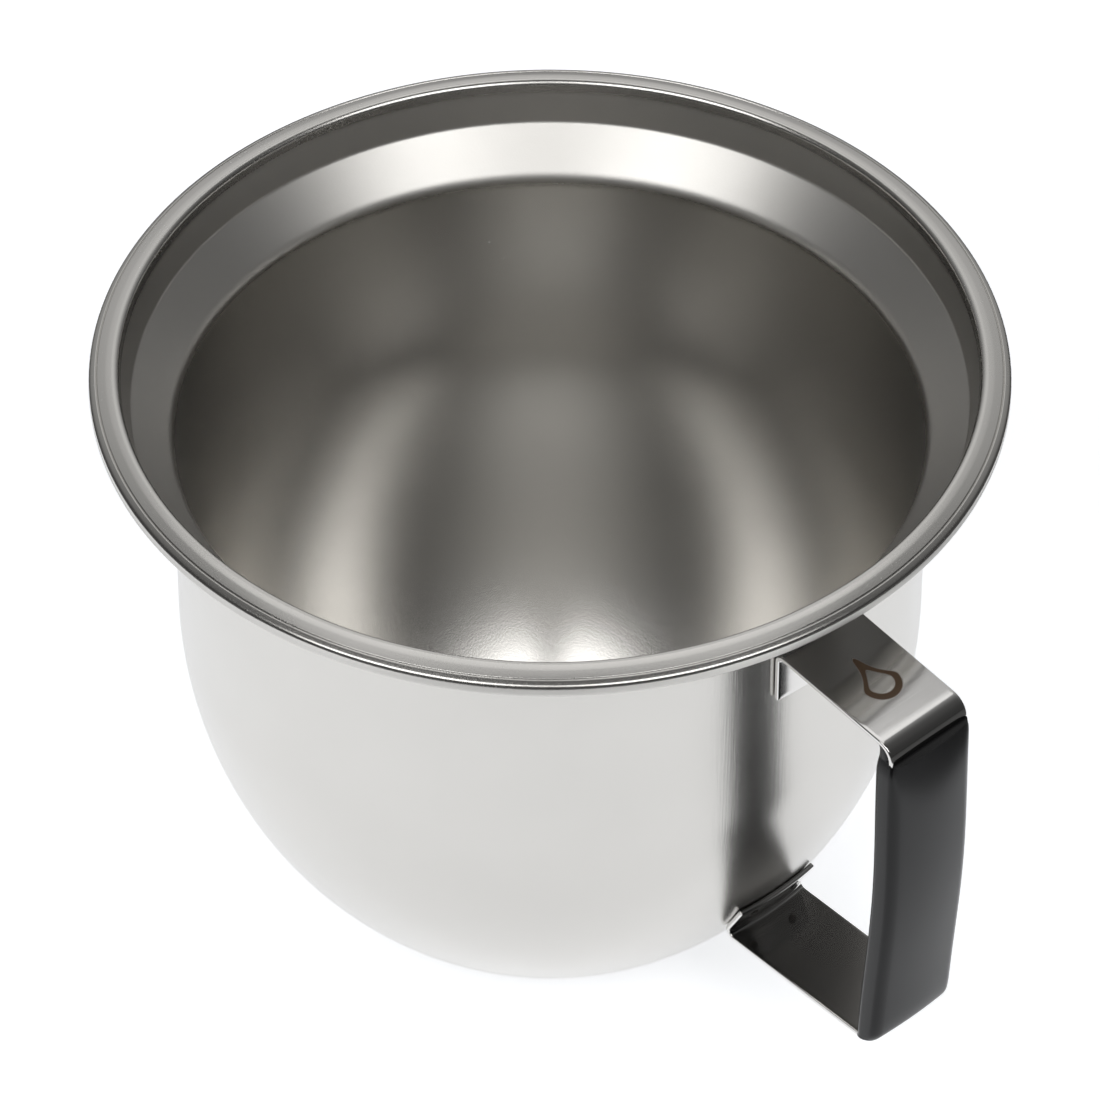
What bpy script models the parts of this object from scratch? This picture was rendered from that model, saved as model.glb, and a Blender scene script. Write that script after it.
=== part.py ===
"""Steel melting pot for candle wax: a drawn pot with a stepped collar and a turned rim, and a bent strap
handle with a moulded grip. Metres, +Z up, the pot's axis on Z, its base on z = 0, the handle along +X."""

from math import asin, atan2, cos, pi, radians, sin, sqrt, tan

import bmesh
import bpy
from mathutils import Matrix, Vector

# Pot: one sheet, measured from its wall outwards, up from the base and down from the top of the rim.
WALL_RADIUS = 0.1032
POT_HEIGHT = 0.188
SHEET = 0.0008
BASE_RADIUS = 0.0488
BOWL_HEIGHT = 0.1042
KNUCKLE_RADIUS = 0.012
SHOULDER_WIDTH = 0.0118
SHOULDER_DEPTH = 0.0242
COLLAR_FLARE = 0.0029
COLLAR_DEPTH = 0.0127
RIM_WIDTH = 0.0079
RIM_DEPTH = 0.0062
RIM_FALL = 0.0024
LIP_TURN = 0.0026
MOUTH_FILLET = 0.0045
COLLAR_FILLET = 0.0025
RIM_INNER_FILLET = 0.0018
RIM_CROWN_FILLET = 0.0100
RIM_OUTER_FILLET = 0.0016
LIP_FILLET = 0.0012
POT_SEGMENTS = 60

# Handle strap: one band bent in a loop out from the wall, its flanges pressed to the pot's curve.
STRAP_WIDTH = 0.028
STRAP_THICKNESS = 0.0015
STRAP_REACH = 0.0441
TOP_PLATE_DEPTH = 0.0286
TOP_PLATE_SLOPE = radians(7)
TOP_FLANGE_LENGTH = 0.0165
BOTTOM_PLATE_DEPTH = 0.1480
BOTTOM_FLANGE_HEIGHT = 0.0123
LEG_LEAN = 0.0034
LEG_BOW = 0.0018
FLANGE_BEND = 0.0022
LEG_BEND = 0.0050
STRAP_COLUMNS = 8

# Grip: moulded round the strap's leg, flush with it at both ends.
GRIP_WALL = 0.0007
GRIP_INNER_SIDE = 0.0046
GRIP_OUTER_SIDE = 0.0026
GRIP_TOP_GAP = 0.0090
GRIP_BOTTOM_GAP = 0.0050
GRIP_SWELL = 0.0130
GRIP_EDGE = 0.0022

# Spot welds: two on each flange, in round holes of the strap.
WELD_RADIUS = 0.0020
WELD_SPACING = 0.0150
UPPER_WELD_DROP = 0.0080
LOWER_WELD_RISE = 0.0075

# Touching pieces stand this far apart.
GAP = 0.0003


def clear_scene():
    for obj in list(bpy.data.objects):
        bpy.data.objects.remove(obj, do_unlink=True)


def new_collection(name, hidden=False):
    collection = bpy.data.collections.new(name)
    bpy.context.scene.collection.children.link(collection)
    collection.hide_render = hidden
    return collection


def add_object(name, mesh, collection, material=None):
    obj = bpy.data.objects.new(name, mesh)
    collection.objects.link(obj)
    if material:
        mesh.materials.append(material)
    return obj


def make_material(name, color, roughness, metallic):
    material = bpy.data.materials.new(name)
    material.use_nodes = True
    shader = material.node_tree.nodes["Principled BSDF"]
    shader.inputs["Base Color"].default_value = (*color, 1)
    shader.inputs["Roughness"].default_value = roughness
    shader.inputs["Metallic"].default_value = metallic
    material.diffuse_color = (*color, 1)
    return material


def arc(centre, radius, start, end, steps):
    """Points of a circular arc in the plane of the profile."""
    angles = [start + (end - start) * i / steps for i in range(steps + 1)]
    return [Vector((centre[0] + radius * cos(a), centre[1] + radius * sin(a))) for a in angles]


def rounded(corners, steps=3):
    """A line through (x, z, fillet radius) corners, each corner replaced by its fillet."""
    line = [Vector(corners[0][:2])]
    for before, corner, after in zip(corners, corners[1:], corners[2:]):
        point = Vector(corner[:2])
        back = (Vector(before[:2]) - point).normalized()
        on = (Vector(after[:2]) - point).normalized()
        half = back.angle(on) / 2
        centre = point + (back + on).normalized() * corner[2] / sin(half)
        start = point + back * corner[2] / tan(half) - centre
        end = point + on * corner[2] / tan(half) - centre
        turn = start.angle_signed(end)
        for i in range(steps + 1):
            line.append(centre + Matrix.Rotation(-turn * i / steps, 2) @ start)
    line.append(Vector(corners[-1][:2]))
    return line


def bowl_arc(wall_radius, base_radius, height):
    """(centre x, radius) of the arc that leaves the wall upright and meets the base at base_radius."""
    step = wall_radius - base_radius
    centre = (wall_radius + base_radius - height**2 / step) / 2
    return centre, wall_radius - centre


def pot_profile():
    """The sheet's inner face, from the middle of the base up to the rim and round to its lip."""
    wall = WALL_RADIUS - SHEET
    collar = wall + SHOULDER_WIDTH
    rim_inner = collar + COLLAR_FLARE
    rim_outer = rim_inner + RIM_WIDTH
    lip = POT_HEIGHT - RIM_DEPTH
    centre, radius = bowl_arc(wall, BASE_RADIUS, BOWL_HEIGHT - SHEET)
    knuckle_z = SHEET + KNUCKLE_RADIUS
    knuckle_x = centre + sqrt((radius - KNUCKLE_RADIUS) ** 2 - (BOWL_HEIGHT - knuckle_z) ** 2)
    tangent = atan2(knuckle_z - BOWL_HEIGHT, knuckle_x - centre)
    profile = [Vector((0, SHEET))]
    profile += arc((knuckle_x, knuckle_z), KNUCKLE_RADIUS, -pi / 2, tangent, 3)
    profile += arc((centre, BOWL_HEIGHT), radius, tangent, 0, 10)[1:]
    profile += rounded(
        [
            (wall, BOWL_HEIGHT, 0),
            (wall, POT_HEIGHT - SHOULDER_DEPTH, MOUTH_FILLET),
            (collar, POT_HEIGHT - COLLAR_DEPTH, COLLAR_FILLET),
            (rim_inner, POT_HEIGHT + 0.37 * RIM_INNER_FILLET, RIM_INNER_FILLET),
            (rim_inner + 0.4 * RIM_WIDTH, POT_HEIGHT - 0.28 * RIM_FALL, RIM_CROWN_FILLET),
            (rim_outer, POT_HEIGHT - RIM_FALL, RIM_OUTER_FILLET),
            (rim_outer, lip, LIP_FILLET),
            (rim_outer - LIP_TURN, lip, 0),
        ]
    )[1:]
    return profile


def turned_sheet(name, profile, collection, material):
    """A profile turned about Z, then thickened away from the axis."""
    mesh = bpy.data.meshes.new(name)
    edges = [(i, i + 1) for i in range(len(profile) - 1)]
    mesh.from_pydata([(p.x, 0, p.y) for p in profile], edges, [])
    obj = add_object(name, mesh, collection, material)
    screw = obj.modifiers.new("turn", "SCREW")
    screw.steps = screw.render_steps = POT_SEGMENTS
    screw.use_merge_vertices = True
    screw.merge_threshold = 0.00001
    screw.use_smooth_shade = True
    solidify = obj.modifiers.new("sheet", "SOLIDIFY")
    solidify.thickness = SHEET
    solidify.offset = -1
    solidify.use_even_offset = True
    return obj


def strap_corners():
    """Corners of the strap's middle line in the XZ plane, from the top flange's end to the leg's foot."""
    middle = STRAP_THICKNESS / 2
    body = WALL_RADIUS + GAP + middle
    leg = WALL_RADIUS + STRAP_REACH - middle
    plate = POT_HEIGHT - TOP_PLATE_DEPTH - middle / cos(TOP_PLATE_SLOPE)
    leg_top = plate - (leg - body) * tan(TOP_PLATE_SLOPE)
    bottom = POT_HEIGHT - BOTTOM_PLATE_DEPTH - middle
    return [
        (body, plate - TOP_FLANGE_LENGTH, 0),
        (body, plate, FLANGE_BEND),
        (leg, leg_top, LEG_BEND),
        (leg - LEG_LEAN, bottom, LEG_BEND),
    ]


def flange_on_bowl(steps=4):
    """The bottom flange's middle line, up along the pot's bowl from the bottom plate."""
    bottom = strap_corners()[-1][1]
    centre, radius = bowl_arc(WALL_RADIUS, BASE_RADIUS, BOWL_HEIGHT)
    radius += GAP + STRAP_THICKNESS / 2
    low = -asin((BOWL_HEIGHT - bottom) / radius)
    high = -asin((BOWL_HEIGHT - bottom - BOTTOM_FLANGE_HEIGHT) / radius)
    return arc((centre, BOWL_HEIGHT), radius, low, high, steps)


def bowed(point):
    """Moves a point of the leg outward, most at its middle, as the strap is slightly arched there."""
    corners = strap_corners()
    top, foot = corners[2], corners[3]
    share = (top[1] - point.y) / (top[1] - foot[1])
    if point.x < foot[0] - LEG_BEND or not 0 < share < 1:
        return point
    return point + Vector((LEG_BOW * sin(pi * share) ** 2, 0))


def leg_points(line, longest=0.008):
    """Adds points on the line's long straight stretches, so that the leg can be arched."""
    dense = [line[0]]
    for start, end in zip(line, line[1:]):
        pieces = int((end - start).length // longest) + 1
        dense += [start.lerp(end, i / pieces) for i in range(1, pieces + 1)]
    return dense


def strap_line():
    """The strap's middle line in the XZ plane, flange to flange."""
    flange = flange_on_bowl()
    corners = strap_corners() + [(flange[0].x, flange[0].y, FLANGE_BEND)]
    corners.append((flange[-1].x, flange[-1].y, 0))
    return [bowed(point) for point in leg_points(rounded(corners, 4))]


def hug(x, y):
    """How far a strap point, y off the middle, moves towards the axis so that the flange lies on the pot."""
    share = min(1, max(0, (WALL_RADIUS + STRAP_REACH - x) / (STRAP_REACH - STRAP_THICKNESS)))
    return share * (x - sqrt(x**2 - y**2))


def strap_sheet(name, width, thickness, collection, material=None):
    """The bent strap as a grid bent along its line and thickened to both sides."""
    line = strap_line()
    shape = bmesh.new()
    bmesh.ops.create_grid(shape, x_segments=len(line) - 1, y_segments=STRAP_COLUMNS, size=0.5)
    for vertex in shape.verts:
        point = line[round((vertex.co.x + 0.5) * (len(line) - 1))]
        y = vertex.co.y * width
        vertex.co = (point.x - hug(point.x, y), y, point.y)
    mesh = bpy.data.meshes.new(name)
    shape.to_mesh(mesh)
    shape.free()
    obj = add_object(name, mesh, collection, material)
    solidify = obj.modifiers.new("sheet", "SOLIDIFY")
    solidify.thickness = thickness
    solidify.offset = 0
    solidify.use_even_offset = True
    return obj


def cut(obj, cutter):
    boolean = obj.modifiers.new(f"cut {cutter.name}", "BOOLEAN")
    boolean.operation = "DIFFERENCE"
    boolean.solver = "EXACT"
    boolean.object = cutter


def grip_outline():
    """The grip's side outline in the XZ plane, flush with the leg at both ends and fuller between."""
    _, corner, top, foot = strap_corners()
    middle = STRAP_THICKNESS / 2
    under_plate = -(middle + GAP) / cos(TOP_PLATE_SLOPE)
    inner_top = top[0] - GRIP_INNER_SIDE - middle
    outer_start = top[1] - GRIP_TOP_GAP
    outer_end = foot[1] + GRIP_BOTTOM_GAP
    floor = foot[1] + middle + GAP
    steps = 14
    outer = []
    for i in range(steps + 1):
        z = outer_start + (outer_end - outer_start) * i / steps
        lean = LEG_LEAN * (top[1] - z) / (top[1] - foot[1])
        ends = min(outer_start - z, z - outer_end)
        fullness = sin(pi / 2 * min(1, ends / GRIP_SWELL))
        x = bowed(Vector((top[0] - lean, z))).x + middle + GAP + GRIP_OUTER_SIDE * fullness
        outer.append((x, z))
    inner = []
    for i in range(steps + 1):
        share = i / steps
        plate_z = corner[1] + under_plate - (inner_top - corner[0]) * tan(TOP_PLATE_SLOPE)
        z = floor + (plate_z - floor) * share
        lean = LEG_LEAN * (top[1] - z) / (top[1] - foot[1])
        x = bowed(Vector((top[0] - lean, z))).x - middle - GRIP_INNER_SIDE
        inner.append((x, z))
    under_bend = top[1] + under_plate - LEG_BEND * tan(TOP_PLATE_SLOPE)
    return outer + [(foot[0] - LEG_BEND, floor)] + inner + [(top[0] - LEG_BEND, under_bend)]


def build_grip(collection, cutters, material):
    """The grip's outline as a filled curve, its edges rounded, cut by the strap with its clearance."""
    width = STRAP_WIDTH + 2 * (GAP + GRIP_WALL)
    curve = bpy.data.curves.new("grip_outline", "CURVE")
    curve.dimensions = "2D"
    curve.fill_mode = "BOTH"
    curve.extrude = width / 2
    outline = grip_outline()
    spline = curve.splines.new("POLY")
    spline.points.add(len(outline) - 1)
    for point, (x, z) in zip(spline.points, outline):
        point.co = (x, z, 0, 1)
    spline.use_cyclic_u = True
    guide = add_object("grip_outline", curve, cutters)
    guide.rotation_euler = (pi / 2, 0, 0)
    bpy.context.view_layer.update()
    evaluated = guide.evaluated_get(bpy.context.evaluated_depsgraph_get())
    mesh = bpy.data.meshes.new_from_object(evaluated)
    mesh.transform(guide.matrix_world)
    bpy.data.objects.remove(guide)
    shape = bmesh.new()
    shape.from_mesh(mesh)
    bmesh.ops.remove_doubles(shape, verts=shape.verts, dist=0.00001)
    bmesh.ops.recalc_face_normals(shape, faces=shape.faces)
    shape.to_mesh(mesh)
    shape.free()
    mesh.name = "handle_grip"
    grip = add_object("handle_grip", mesh, collection, material)
    bevel = grip.modifiers.new("edges", "BEVEL")
    bevel.width = GRIP_EDGE
    bevel.segments = 3
    bevel.limit_method = "ANGLE"
    bevel.angle_limit = radians(50)
    slot = strap_sheet("grip_slot", STRAP_WIDTH + 2 * GAP, STRAP_THICKNESS + 2 * GAP, cutters)
    cut(grip, slot)


def weld_places():
    """(name, point on the flange's middle, outward direction) of each spot weld."""
    plate = strap_corners()[1][1]
    bottom = strap_corners()[-1][1]
    centre, radius = bowl_arc(WALL_RADIUS, BASE_RADIUS, BOWL_HEIGHT)
    middle = GAP + STRAP_THICKNESS / 2
    lower_z = bottom + LOWER_WELD_RISE
    dip = asin((BOWL_HEIGHT - lower_z) / (radius + middle))
    rows = [
        ("upper_weld", WALL_RADIUS + middle, plate - UPPER_WELD_DROP, 0),
        ("lower_weld", centre + (radius + middle) * cos(dip), lower_z, -dip),
    ]
    places = []
    for row, ring, z, pitch in rows:
        for side, y in (("left", -WELD_SPACING / 2), ("right", WELD_SPACING / 2)):
            turn = asin(y / ring)
            point = Vector((ring * cos(turn), y, z))
            outward = Vector((cos(pitch) * cos(turn), cos(pitch) * sin(turn), sin(pitch)))
            places.append((f"{row}_{side}", point, outward))
    return places


def disc(name, point, outward, radius, thickness, collection, material=None):
    shape = bmesh.new()
    bmesh.ops.create_cone(
        shape, cap_ends=True, segments=20, radius1=radius, radius2=radius, depth=thickness
    )
    turn = outward.to_track_quat("Z", "Y").to_matrix().to_4x4()
    mesh = bpy.data.meshes.new(name)
    shape.to_mesh(mesh)
    shape.free()
    obj = add_object(name, mesh, collection, material)
    obj.matrix_world = Matrix.Translation(point) @ turn
    return obj


clear_scene()
parts = new_collection("candle_melting_pot")
cutters = new_collection("cutters", hidden=True)

satin_steel = make_material("satin_steel", (0.62, 0.61, 0.59), 0.32, 1)
bright_steel = make_material("bright_steel", (0.68, 0.67, 0.66), 0.12, 1)
weld_steel = make_material("weld_steel", (0.25, 0.24, 0.23), 0.45, 1)
black_plastic = make_material("black_plastic", (0.015, 0.015, 0.016), 0.35, 0)

turned_sheet("pot_body", pot_profile(), parts, satin_steel)
strap = strap_sheet("handle_strap", STRAP_WIDTH, STRAP_THICKNESS, parts, bright_steel)
build_grip(parts, cutters, black_plastic)
for weld, place, direction in weld_places():
    disc(weld, place, direction, WELD_RADIUS, STRAP_THICKNESS, parts, weld_steel)
    hole = disc(
        f"{weld}_hole", place, direction, WELD_RADIUS + GAP, 4 * STRAP_THICKNESS, cutters
    )
    cut(strap, hole)

for obj in cutters.objects:
    obj.hide_render = True
    obj.display_type = "WIRE"
for obj in parts.objects:
    obj.data.shade_smooth()
    obj.data.set_sharp_from_angle(angle=radians(35))
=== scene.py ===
from math import asin, atan2, cos, exp, log, pi, radians, sin, sqrt, tan

import bmesh
import bpy
from mathutils import Matrix, Vector


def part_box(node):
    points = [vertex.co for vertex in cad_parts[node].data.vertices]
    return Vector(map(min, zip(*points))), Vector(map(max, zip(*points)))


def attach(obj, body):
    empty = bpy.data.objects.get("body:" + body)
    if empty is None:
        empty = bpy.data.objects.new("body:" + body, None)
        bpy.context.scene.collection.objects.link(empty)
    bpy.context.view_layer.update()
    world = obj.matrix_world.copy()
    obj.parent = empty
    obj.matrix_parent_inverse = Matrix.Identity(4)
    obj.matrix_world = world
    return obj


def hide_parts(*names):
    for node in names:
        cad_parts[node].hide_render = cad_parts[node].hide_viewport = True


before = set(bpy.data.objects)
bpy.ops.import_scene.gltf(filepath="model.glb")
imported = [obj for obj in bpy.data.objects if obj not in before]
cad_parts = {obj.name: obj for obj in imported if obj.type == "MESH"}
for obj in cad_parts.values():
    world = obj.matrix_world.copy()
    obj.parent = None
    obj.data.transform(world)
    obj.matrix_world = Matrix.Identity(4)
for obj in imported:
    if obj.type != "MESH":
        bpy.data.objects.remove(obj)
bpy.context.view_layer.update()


# The pot is one disc of stainless sheet, drawn to a bowl and a straight wall, stepped out to a shoulder
# and a collar, and turned over into a rim that falls outward, with a small groove where the lip folds
# down. It is satin: fine upright lines from drawing on the wall, a dull shoulder, a brighter rim.
pot_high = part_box("pot_body")[1]
rim_radius = pot_high.x
pot_height = pot_high.z
sheet = 0.0008
rim_width = 0.0079
rim_depth = 0.0062
rim_fall = 0.0024
rim_lift = 0.0003
rim_crown_place = 0.0032
rim_crown_fall = 0.0005
rim_inner = rim_radius - rim_width
collar_flare = 0.0029
collar_radius = rim_inner - collar_flare
collar_depth = 0.0127
shoulder_width = 0.0118
wall_inner = collar_radius - shoulder_width
shoulder_depth = 0.0242
bowl_height = 0.1042
base_radius = 0.0488
knuckle_radius = 0.012
lip_turn = 0.0026
groove_place = 0.0021
groove_fall = 0.0013
groove_width = 0.00055
groove_depth = 0.00045
groove_step = 0.0001
mouth_fillet = 0.0068
collar_fillet = 0.0022
rim_inner_fillet = 0.0018
rim_crown_fillet = 0.0080
groove_shoulder_fillet = 0.0003
groove_floor_fillet = 0.0001
rim_outer_fillet = 0.0014
lip_fillet = 0.0012


def arc(centre, radius, start, end, steps):
    """Points of a circular arc in the plane of the profile."""
    angles = [start + (end - start) * i / steps for i in range(steps + 1)]
    return [Vector((centre[0] + radius * cos(a), centre[1] + radius * sin(a))) for a in angles]


def rounded(corners, steps):
    """A line through (x, z, fillet radius) corners, each corner replaced by its fillet."""
    line = [Vector(corners[0][:2])]
    for before, corner, after in zip(corners, corners[1:], corners[2:]):
        point = Vector(corner[:2])
        if not corner[2]:
            line.append(point)
            continue
        back = (Vector(before[:2]) - point).normalized()
        on = (Vector(after[:2]) - point).normalized()
        half = back.angle(on) / 2
        centre = point + (back + on).normalized() * corner[2] / sin(half)
        start = point + back * corner[2] / tan(half) - centre
        end = point + on * corner[2] / tan(half) - centre
        turn = start.angle_signed(end)
        for i in range(steps + 1):
            line.append(centre + Matrix.Rotation(-turn * i / steps, 2) @ start)
    line.append(Vector(corners[-1][:2]))
    return line


def bowl_arc(wall_radius, base, height):
    """(centre x, radius) of the arc that leaves the wall upright and meets the base."""
    step = wall_radius - base
    centre = (wall_radius + base - height**2 / step) / 2
    return centre, wall_radius - centre


def offset_line(line, distance):
    """The line moved sideways, to the right of the way it runs."""
    moved = []
    for i, point in enumerate(line):
        before = line[max(0, i - 1)]
        after = line[min(len(line) - 1, i + 1)]
        along = (after - before).normalized()
        moved.append(point + Vector((along.y, -along.x)) * distance)
    return moved


centre, radius = bowl_arc(wall_inner, base_radius, bowl_height - sheet)
knuckle_z = sheet + knuckle_radius
knuckle_x = centre + sqrt((radius - knuckle_radius) ** 2 - (bowl_height - knuckle_z) ** 2)
tangent = atan2(knuckle_z - bowl_height, knuckle_x - centre)
inside = [Vector((0.0001, sheet))]
inside += [Vector((knuckle_x * i / 5, sheet)) for i in range(1, 5)]
inside += arc((knuckle_x, knuckle_z), knuckle_radius, -pi / 2, tangent, 8)
inside += arc((centre, bowl_height), radius, tangent, 0, 44)[1:]
lip = pot_height - rim_depth
groove_x = rim_radius - groove_place
groove_z = pot_height - groove_fall
inside += rounded(
    [
        (wall_inner, bowl_height, 0),
        (wall_inner, pot_height - shoulder_depth, mouth_fillet),
        (collar_radius, pot_height - collar_depth, collar_fillet),
        (rim_inner, pot_height + rim_lift, rim_inner_fillet),
        (rim_inner + rim_crown_place, pot_height - rim_crown_fall, rim_crown_fillet),
        (groove_x - groove_width / 2, groove_z, groove_shoulder_fillet),
        (groove_x, groove_z - groove_depth, groove_floor_fillet),
        (groove_x + groove_width / 2, groove_z - groove_step, groove_shoulder_fillet),
        (rim_radius, pot_height - rim_fall, rim_outer_fillet),
        (rim_radius, lip, lip_fillet),
        (rim_radius - lip_turn, lip, 0),
    ],
    7,
)[1:]


def turned(name, line, segments):
    """A closed solid from a line that starts and ends on the axis, turned about it."""
    shape = bmesh.new()
    rings = []
    for i in range(segments):
        turn = 2 * pi * i / segments
        rings.append([shape.verts.new((p.x * cos(turn), p.x * sin(turn), p.y)) for p in line[1:-1]])
    first = shape.verts.new((0, 0, line[0].y))
    last = shape.verts.new((0, 0, line[-1].y))
    for here, following in zip(rings, rings[1:] + rings[:1]):
        shape.faces.new((first, following[0], here[0]))
        shape.faces.new((last, here[-1], following[-1]))
        for i in range(len(here) - 1):
            shape.faces.new((here[i], following[i], following[i + 1], here[i + 1]))
    bmesh.ops.recalc_face_normals(shape, faces=shape.faces)
    mesh = bpy.data.meshes.new(name)
    shape.to_mesh(mesh)
    shape.free()
    mesh.shade_smooth()
    mesh.set_sharp_from_angle(angle=radians(40))
    piece = bpy.data.objects.new(name, mesh)
    bpy.context.scene.collection.objects.link(piece)
    return piece


outside = offset_line(inside, sheet)
outside[0] = Vector((0, 0))
inside[0] = Vector((0, sheet))
pot_segments = 240
pot = turned("pot_steel", inside + outside[::-1], pot_segments)


class Wire:
    """A value inside a material. Arithmetic on it adds Math nodes, and add() puts in any other node."""

    def __init__(self, tree, socket):
        self.tree = tree
        self.socket = socket

    def add(self, kind, settings=None, inputs=None, output=0):
        node = self.tree.nodes.new(kind)
        for name, value in (settings or {}).items():
            if name == "stops":
                ramp = node.color_ramp.elements
                while len(ramp) < len(value):
                    ramp.new(0.5)
                for stop, (place, level) in zip(ramp, value):
                    stop.position = place
                    stop.color = (level, level, level, 1) if isinstance(level, float) else (*level, 1)
            else:
                setattr(node, name, value)
        for name, value in (inputs or {}).items():
            if isinstance(value, Wire):
                self.tree.links.new(value.socket, node.inputs[name])
            else:
                node.inputs[name].default_value = value
        return Wire(self.tree, node.outputs[output])

    def maths(self, operation, first, second=None):
        inputs = {0: first} if second is None else {0: first, 1: second}
        return self.add("ShaderNodeMath", {"operation": operation}, inputs)

    def __add__(self, other):
        return self.maths("ADD", self, other)

    def __radd__(self, other):
        return self.maths("ADD", other, self)

    def __sub__(self, other):
        return self.maths("SUBTRACT", self, other)

    def __rsub__(self, other):
        return self.maths("SUBTRACT", other, self)

    def __mul__(self, other):
        return self.maths("MULTIPLY", self, other)

    def __rmul__(self, other):
        return self.maths("MULTIPLY", other, self)

    def __pow__(self, other):
        return self.maths("POWER", self, other)

    def between(self, low, high):
        """0 below low, 1 above high, and smooth between."""
        settings = {"interpolation_type": "SMOOTHSTEP"}
        return self.add("ShaderNodeMapRange", settings, {0: self, 1: low, 2: high})

    def feed(self, name):
        self.tree.links.new(self.socket, self.tree.nodes["Principled BSDF"].inputs[name])


def new_material(name, color, roughness, metallic):
    """A material, and the object's own coordinates in metres as its first wire."""
    material = bpy.data.materials.new(name)
    material.use_nodes = True
    shader = material.node_tree.nodes["Principled BSDF"]
    shader.inputs["Base Color"].default_value = (*color, 1)
    shader.inputs["Roughness"].default_value = roughness
    shader.inputs["Metallic"].default_value = metallic
    place = material.node_tree.nodes.new("ShaderNodeTexCoord")
    return material, Wire(material.node_tree, place.outputs["Object"])


def noise(place, scale, detail=2.0, stretch=(1, 1, 1)):
    """Noise of about 0 to 1, with its grain stretched along an axis by a small factor on it."""
    spread = place.add("ShaderNodeMapping", None, {"Vector": place, "Scale": stretch})
    return place.add("ShaderNodeTexNoise", None, {"Vector": spread, "Scale": scale, "Detail": detail})


def mix(factor, first, second):
    """A colour between two colours, each a triple or a wire."""
    ends = [end if isinstance(end, Wire) else (*end, 1) for end in (first, second)]
    settings = {"data_type": "RGBA"}
    return factor.add("ShaderNodeMix", settings, {0: factor, 6: ends[0], 7: ends[1]}, 2)


def bump(height, distance):
    """A normal from a height, whose full step stands this many metres proud."""
    return height.add("ShaderNodeBump", None, {"Height": height, "Distance": distance, "Strength": 1.0})


steel_tone = (0.604, 0.591, 0.566)
steel_dull = (0.524, 0.512, 0.489)
satin_roughness = 0.25
shoulder_roughness = 0.15
rim_roughness = -0.14
satin, place = new_material("satin_steel", steel_tone, satin_roughness, 1)
height = place.add("ShaderNodeSeparateXYZ", None, {0: place}, 2)
upright = noise(place, 2200, 2.0, (1, 1, 0.02))
speckle = noise(place, 1500, 3.0)
cloud = noise(place, 26, 3.0)
shoulder = height.between(pot_height - shoulder_depth - 0.002, pot_height - shoulder_depth + 0.001)
rim = height.between(pot_height - 0.0045, pot_height - 0.003)
wall_grain = (upright - 0.5) * (1 - shoulder)
grain = wall_grain + (speckle - 0.5) * (0.35 + 0.65 * shoulder)
uneven = 0.05 * (cloud - 0.5) + 0.06 * (speckle - 0.5)
(satin_roughness + uneven + shoulder_roughness * shoulder + rim_roughness * rim).feed("Roughness")
mix(cloud * 0.35, steel_tone, steel_dull).feed("Base Color")
bump(grain * (1 - 0.6 * rim), 0.000016).feed("Normal")
pot.data.materials.append(satin)
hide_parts("pot_body")
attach(pot, "root")


# The handle is one band of polished stainless sheet, cut from strip and bent in a loop: a flange pressed
# to the wall's curve, a plate out to the bend, a leg inside the grip, and back to a flange on the bowl.
# The cut edges are rounded over. The top plate carries an etched mark, here a plain drop of wax.
strap_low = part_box("handle_strap")[0]
strap_width = 0.028
strap_thickness = 0.0015
strap_gap = 0.0003
strap_reach = 0.0441
plate_depth = 0.0286
plate_slope = radians(7)
top_flange = 0.0165
bottom_flange = 0.0123
leg_lean = 0.0034
leg_bow = 0.0018
flange_bend = 0.0022
leg_bend = 0.0050
strap_edge = 0.0004
middle = strap_thickness / 2
wall_outer = wall_inner + sheet
flange_x = wall_outer + strap_gap + middle
leg_x = wall_outer + strap_reach - middle
foot_x = leg_x - leg_lean
plate_z = pot_height - plate_depth - middle / cos(plate_slope)
leg_top = plate_z - (leg_x - flange_x) * tan(plate_slope)
bottom_z = strap_low.z + middle


def bowed(point):
    """A point of the leg moved outward, most at its middle, as the strap is slightly arched there."""
    share = (leg_top - point.y) / (leg_top - bottom_z)
    if point.x < foot_x - leg_bend or not 0 < share < 1:
        return point
    return point + Vector((leg_bow * sin(pi * share) ** 2, 0))


def dense(line, longest):
    """The line with points added on its long straight stretches."""
    points = [line[0]]
    for start, end in zip(line, line[1:]):
        pieces = int((end - start).length // longest) + 1
        points += [start.lerp(end, i / pieces) for i in range(1, pieces + 1)]
    return points


bowl_x, bowl_radius = bowl_arc(wall_outer, base_radius, bowl_height)
bowl_radius += strap_gap + middle
flange_foot = -asin((bowl_height - bottom_z) / bowl_radius)
flange_head = -asin((bowl_height - bottom_z - bottom_flange) / bowl_radius)
bowl_flange = arc((bowl_x, bowl_height), bowl_radius, flange_foot, flange_head, 8)
strap_line = rounded(
    [
        (flange_x, plate_z - top_flange, 0),
        (flange_x, plate_z, flange_bend),
        (leg_x, leg_top, leg_bend),
        (foot_x, bottom_z, leg_bend),
        (*bowl_flange[0], flange_bend),
        (*bowl_flange[-1], 0),
    ],
    10,
)
strap_line = [bowed(point) for point in dense(strap_line, 0.002)]


def hug(x, y):
    """How far a strap point, y off the middle, moves towards the axis so that the flange lies on the pot."""
    share = min(1, max(0, (wall_outer + strap_reach - x) / (strap_reach - strap_thickness)))
    return share * (x - sqrt(x**2 - y**2))


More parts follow.
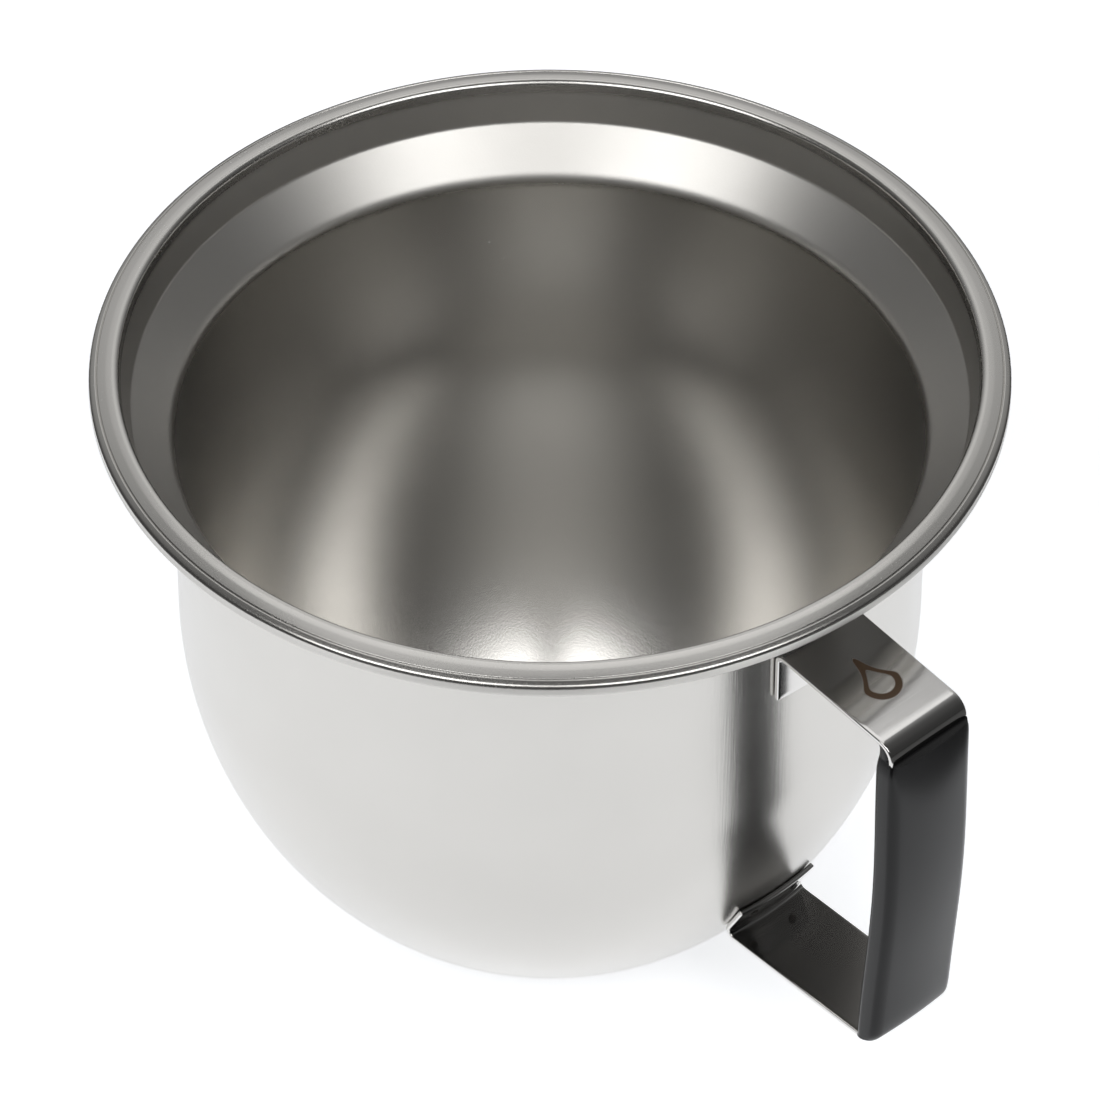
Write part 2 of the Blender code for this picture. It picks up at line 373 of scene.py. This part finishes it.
def band(name, line, width, thickness, columns=24):
    """A sheet bent along a line and pressed to the pot's curve, thickened to both sides."""
    shape = bmesh.new()
    bmesh.ops.create_grid(shape, x_segments=len(line) - 1, y_segments=columns, size=0.5)
    for vertex in shape.verts:
        point = line[round((vertex.co.x + 0.5) * (len(line) - 1))]
        y = vertex.co.y * width
        vertex.co = (point.x - hug(point.x, y), y, point.y)
    mesh = bpy.data.meshes.new(name)
    shape.to_mesh(mesh)
    shape.free()
    piece = bpy.data.objects.new(name, mesh)
    bpy.context.scene.collection.objects.link(piece)
    thick = piece.modifiers.new("thickness", "SOLIDIFY")
    thick.thickness = thickness
    thick.offset = 0
    thick.use_even_offset = True
    return piece


def settled(piece, sharp):
    """The piece with its modifiers made part of its mesh, shaded smooth but for edges over an angle."""
    graph = bpy.context.evaluated_depsgraph_get()
    mesh = bpy.data.meshes.new_from_object(piece.evaluated_get(graph))
    piece.modifiers.clear()
    piece.data = mesh
    mesh.name = piece.name
    mesh.shade_smooth()
    mesh.set_sharp_from_angle(angle=sharp)
    return piece


def round_edges(piece, width, segments, angle):
    edges = piece.modifiers.new("rounded edges", "BEVEL")
    edges.width = width
    edges.segments = segments
    edges.limit_method = "ANGLE"
    edges.angle_limit = angle


strap = band("strap_steel", strap_line, strap_width, strap_thickness)
round_edges(strap, strap_edge, 4, radians(50))
settled(strap, radians(45))

polish_tone = (0.66, 0.65, 0.635)
etch_tone = (0.085, 0.052, 0.03)
mark_x = wall_outer + 0.0245
mark_y = 0.0005
mark_size = 0.0050
mark_line = 0.0011
polished, place = new_material("polished_steel", polish_tone, 0.13, 1)
along = place.add("ShaderNodeSeparateXYZ", None, {0: place}, 0) - mark_x
across = place.add("ShaderNodeSeparateXYZ", None, {0: place}, 1) - mark_y
up = place.add("ShaderNodeSeparateXYZ", None, {0: place}, 2)
back = along * -1
taper = back.between(mark_size * -0.2, mark_size * 2.1)
body_width = (1 - taper) + taper * 3.2
from_middle = place.maths("SQRT", (across * body_width) ** 2.0 + (along * (1 - 0.42 * taper)) ** 2.0)
ring = place.maths("ABSOLUTE", from_middle - mark_size)
on_plate = up.between(plate_z - 0.008, plate_z - 0.007)
etch = (1 - ring.between(mark_line * 0.75, mark_line * 1.25)) * on_plate
cross_grain = noise(place, 1500, 2.0, (1, 0.03, 1))
smudge = noise(place, 90, 3.0)
tone = mix(smudge * 0.3, polish_tone, (0.57, 0.56, 0.545))
mix(etch, tone, etch_tone).feed("Base Color")
(0.12 + 0.05 * (smudge - 0.5) + 0.06 * (cross_grain - 0.5) + 0.35 * etch).feed("Roughness")
(1 - 0.65 * etch).feed("Metallic")
bump(cross_grain - 0.5 * etch, 0.000004).feed("Normal")
strap.data.materials.append(polished)
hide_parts("handle_strap")
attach(strap, "root")


# Each flange is held by two spot welds, small sunk discs of steel that the welding has darkened.
dimple_radius = 0.0013
dimple_depth = 0.00012
weld_metal, place = new_material("weld_steel", (0.25, 0.24, 0.23), 0.45, 1)
heat = noise(place, 900, 3.0)
mix(heat, (0.02, 0.019, 0.018), (0.09, 0.084, 0.078)).feed("Base Color")
(0.35 + 0.3 * heat).feed("Roughness")
bump(heat, 0.00003).feed("Normal")
for row in ("upper", "lower"):
    for side in ("left", "right"):
        low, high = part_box(f"{row}_weld_{side}")
        point = (low + high) / 2
        flat = Vector((point.x, point.y, 0)).normalized()
        pitch = 0
        if row == "lower":
            pitch = -asin((bowl_height - point.z) / bowl_radius)
        outward = Vector((flat.x * cos(pitch), flat.y * cos(pitch), sin(pitch)))
        shape = bmesh.new()
        bmesh.ops.create_uvsphere(shape, u_segments=24, v_segments=12, radius=dimple_radius)
        bmesh.ops.scale(shape, verts=shape.verts, vec=(1, 1, 0.14))
        mesh = bpy.data.meshes.new(f"weld_{row}_{side}")
        shape.to_mesh(mesh)
        shape.free()
        mesh.shade_smooth()
        dimple = bpy.data.objects.new(mesh.name, mesh)
        bpy.context.scene.collection.objects.link(dimple)
        dimple.matrix_world = (
            Matrix.Translation(point + outward * (middle - dimple_depth * 0.4))
            @ outward.to_track_quat("Z", "Y").to_matrix().to_4x4()
        )
        mesh.materials.append(weld_metal)
        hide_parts(f"{row}_weld_{side}")
        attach(dimple, "root")


# The grip is black plastic moulded round the strap's leg. Its inner side fills the bend up to the top
# plate; its outer side is cut back flat near the top, so that it meets the strap there, and wraps the
# lower bend.
grip_inner = 0.0046
grip_outer = 0.00285
grip_half = 0.0149
grip_half_top = 0.0139
grip_corner = 0.0031
grip_inner_corner = 0.0022
grip_cut_slope = radians(8)
grip_cut_blend = 0.00035
grip_foot_swell = 0.0110
grip_crown = 0.0013
grip_skin = 0.00025
slot_clearance = 0.00004
grip_top = leg_top - leg_bend + 0.0006
tuck_z = leg_top + 0.0002
upper_bend = Vector((leg_x - leg_bend, leg_top - leg_bend * 0.88))
lower_bend = Vector((foot_x - leg_bend, bottom_z + leg_bend))


def leg_line(z):
    """How far out the strap's middle line stands along its leg."""
    lean = leg_lean * (leg_top - z) / (leg_top - bottom_z)
    return bowed(Vector((leg_x - lean, z))).x


def quarter(share):
    """0 to 1 as a quarter of a wave, quick at first and level at the end."""
    return sin(pi / 2 * min(1, max(0, share)))


grip_edge = []
for i in range(13):
    turn = radians(-50 + 50 * i / 12)
    reach = leg_bend + middle + grip_skin + (grip_outer - grip_skin) * quarter(i / 16)
    grip_edge.append(lower_bend + Vector((cos(turn), sin(turn))) * reach)
for i in range(1, 61):
    share = i / 60
    z = lower_bend.y + (grip_top - lower_bend.y) * (1 - (1 - share) ** 1.4)
    foot = quarter(0.75 + 0.25 * (z - lower_bend.y) / grip_foot_swell)
    grip_edge.append(Vector((leg_line(z) + middle + grip_outer * foot, z)))
for i in range(13):
    z = grip_top + 0.00004 + (tuck_z - grip_top) * i / 12
    rise = min(leg_bend, max(0, z - upper_bend.y))
    grip_edge.append(Vector((upper_bend.x + sqrt(leg_bend**2 - rise**2), z)))


def grip_section(outer, z):
    """The grip's outline at one height: soft-cornered, crowned outside, and cut back flat near its top."""
    leg = leg_line(min(grip_top, max(lower_bend.y, z)))
    inner = leg - middle - grip_inner
    skin = max(0, outer - leg - middle)
    depth = outer - inner
    below = quarter((grip_top - z) / 0.005)
    half = grip_half_top + (grip_half - grip_half_top) * below
    corner = min(0.45 * depth, grip_corner)
    cut = leg_line(grip_top) + middle + grip_skin + max(0, grip_top - z) * tan(grip_cut_slope)
    inner_corner = min(0.45 * depth, grip_inner_corner)
    corners = [(inner, 0, 0), (inner, half, inner_corner), (outer, half, corner)]
    corners += [(outer, half * i / 10, 0) for i in range(7, -8, -1)]
    corners += [(outer, -half, corner), (inner, -half, inner_corner), (inner, 0, 0)]
    outline = []
    for point in rounded(corners, 8)[:-1]:
        across = (point.x - inner) / depth
        point.x -= grip_crown * skin / grip_outer * (point.y / half) ** 2 * across**3
        over = (point.x - cut) / grip_cut_blend
        if z <= grip_top and over > -30:
            point.x = cut - grip_cut_blend * log(1 + exp(-over))
        outline.append(point)
    return outline


shape = bmesh.new()
loops = []
for edge in grip_edge:
    loops.append([shape.verts.new((p.x, p.y, edge.y)) for p in grip_section(edge.x, edge.y)])
for here, following in zip(loops, loops[1:]):
    for i in range(len(here)):
        k = (i + 1) % len(here)
        shape.faces.new((here[i], here[k], following[k], following[i]))
shape.faces.new(loops[0][::-1])
shape.faces.new(loops[-1])
bmesh.ops.recalc_face_normals(shape, faces=shape.faces)
mesh = bpy.data.meshes.new("grip_plastic")
shape.to_mesh(mesh)
shape.free()
grip = bpy.data.objects.new("grip_plastic", mesh)
bpy.context.scene.collection.objects.link(grip)
slot_space = band(
    "slot_space", strap_line, strap_width + 2 * slot_clearance, strap_thickness + 2 * slot_clearance
)
cut = grip.modifiers.new("strap slot", "BOOLEAN")
cut.operation = "DIFFERENCE"
cut.solver = "EXACT"
cut.object = slot_space
settled(grip, radians(38))
bpy.data.objects.remove(slot_space)

plastic, place = new_material("black_plastic", (0.003, 0.003, 0.0033), 0.22, 0)
plastic.node_tree.nodes["Principled BSDF"].inputs["Specular IOR Level"].default_value = 0.24
texture = noise(place, 2600, 2.0)
handling = noise(place, 60, 3.0)
mix(handling, (0.0022, 0.0022, 0.0024), (0.0042, 0.0042, 0.0046)).feed("Base Color")
(0.19 + 0.06 * handling + 0.04 * (texture - 0.5)).feed("Roughness")
bump(texture, 0.000006).feed("Normal")
grip.data.materials.append(plastic)
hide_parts("handle_grip")
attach(grip, "root")


# The pot stands on a pale card that glows with painted light of its own; beyond the card's edges the floor
# is dark grey and does not glow. Two large soft boxes light it from either side of the camera, with a weaker
# panel between them, one high up behind, and a wide glow over the floor.
view_azimuth = radians(47)
camera_elevation = radians(42.06)
camera_tilt = radians(43.35)
camera_distance = 17.352 * rim_radius
lens = 261.8
rightward = Vector((cos(view_azimuth), sin(view_azimuth), 0))
backward = Vector((-sin(view_azimuth), cos(view_azimuth), 0))

floor_mesh = bpy.data.meshes.new("floor")
shape = bmesh.new()
bmesh.ops.create_grid(shape, x_segments=1, y_segments=1, size=12)
shape.to_mesh(floor_mesh)
shape.free()
floor = bpy.data.objects.new("floor", floor_mesh)
bpy.context.scene.collection.objects.link(floor)
card, place = new_material("pale_glowing_card", (0.9, 0.9, 0.9), 0.9, 0)


def distance_along(place, direction):
    settings = {"operation": "DOT_PRODUCT"}
    return place.add("ShaderNodeVectorMath", settings, {0: place, 1: direction}, 1)


sideways = distance_along(place, rightward)
depth = distance_along(place, backward)
card_right = (0.27, 0.325)
card_left = (0.30, 0.45)
card_back = (0.55, 0.75)
card_front = (0.28, 0.42)
beyond_side = sideways.between(*card_right) + (sideways * -1).between(*card_left)
beyond_end = depth.between(*card_back) + (depth * -1).between(*card_front)
on_card = (1 - beyond_side) * (1 - beyond_end)
mix(on_card, (0.10, 0.10, 0.10), (0.92, 0.93, 0.945)).feed("Base Color")
# The card's emission is painted light: it makes the card glow brighter than the lamps alone light it, and
# the dark floor beyond its edges gives no glow.
mix(on_card, (0.0, 0.0, 0.0), (0.550, 0.558, 0.572)).feed("Emission Color")
card.node_tree.nodes["Principled BSDF"].inputs["Emission Strength"].default_value = 1
floor_mesh.materials.append(card)


def from_camera_side(turn, elevation, distance):
    """A point at a turn from the camera's side of the pot, seen from the middle of its rim."""
    angle = view_azimuth + turn
    flat = Vector((sin(angle) * cos(elevation), -cos(angle) * cos(elevation), sin(elevation)))
    return Vector((0, 0, pot_height - 0.0040)) + flat * distance


camera_data = bpy.data.cameras.new("camera")
camera_data.lens = lens
camera_data.sensor_width = 36
camera_data.clip_end = 50
camera = bpy.data.objects.new("camera", camera_data)
bpy.context.scene.collection.objects.link(camera)
camera.location = from_camera_side(0, camera_elevation, camera_distance)
look = backward * cos(camera_tilt) - Vector((0, 0, sin(camera_tilt)))
camera.rotation_euler = look.to_track_quat("-Z", "Y").to_euler()
bpy.context.scene.camera = camera


def soft_box(name, turn, elevation, width, tall, brightness):
    """A lamp seen from the pot as a panel of even brightness; its width and height are angles."""
    distance = 3.0
    light = bpy.data.lights.new(name, "AREA")
    light.shape = "RECTANGLE"
    light.size = 2 * distance * tan(width / 2)
    light.size_y = 2 * distance * tan(tall / 2)
    light.energy = brightness * pi * light.size * light.size_y
    lamp = bpy.data.objects.new(name, light)
    bpy.context.scene.collection.objects.link(lamp)
    lamp.location = from_camera_side(turn, elevation, distance)
    aim = Vector((0, 0, pot_height * 0.6)) - lamp.location
    lamp.rotation_euler = aim.to_track_quat("-Z", "Y").to_euler()


soft_box("soft_box_left", radians(-36), radians(46), radians(38), radians(26), 3.4)
soft_box("soft_box_right", radians(35), radians(46), radians(37), radians(26), 3.2)
soft_box("front_panel", radians(0), radians(39), radians(30), radians(28), 0.4)
soft_box("top_panel", radians(182), radians(72), radians(44), radians(30), 0.75)

glow_elevation = radians(32)
glow_tightness = 4.5
glow_strength = 0.82
room_level = 0.04
world = bpy.data.worlds.new("room")
bpy.context.scene.world = world
world.use_nodes = True
room = world.node_tree.nodes["Background"]
room.inputs["Color"].default_value = (1, 1, 1, 1)
facing = Wire(world.node_tree, world.node_tree.nodes.new("ShaderNodeTexCoord").outputs["Generated"])
glow_way = backward * cos(glow_elevation) + Vector((0, 0, sin(glow_elevation)))
glow = facing.maths("EXPONENT", (distance_along(facing, glow_way) - 1) * glow_tightness) * glow_strength
rise = facing.add("ShaderNodeSeparateXYZ", None, {0: facing}, 2)
level = glow + room_level * (1 - rise.between(0.6, 0.9))
world.node_tree.links.new(level.socket, room.inputs["Strength"])
bpy.context.scene.view_settings.view_transform = "Standard"
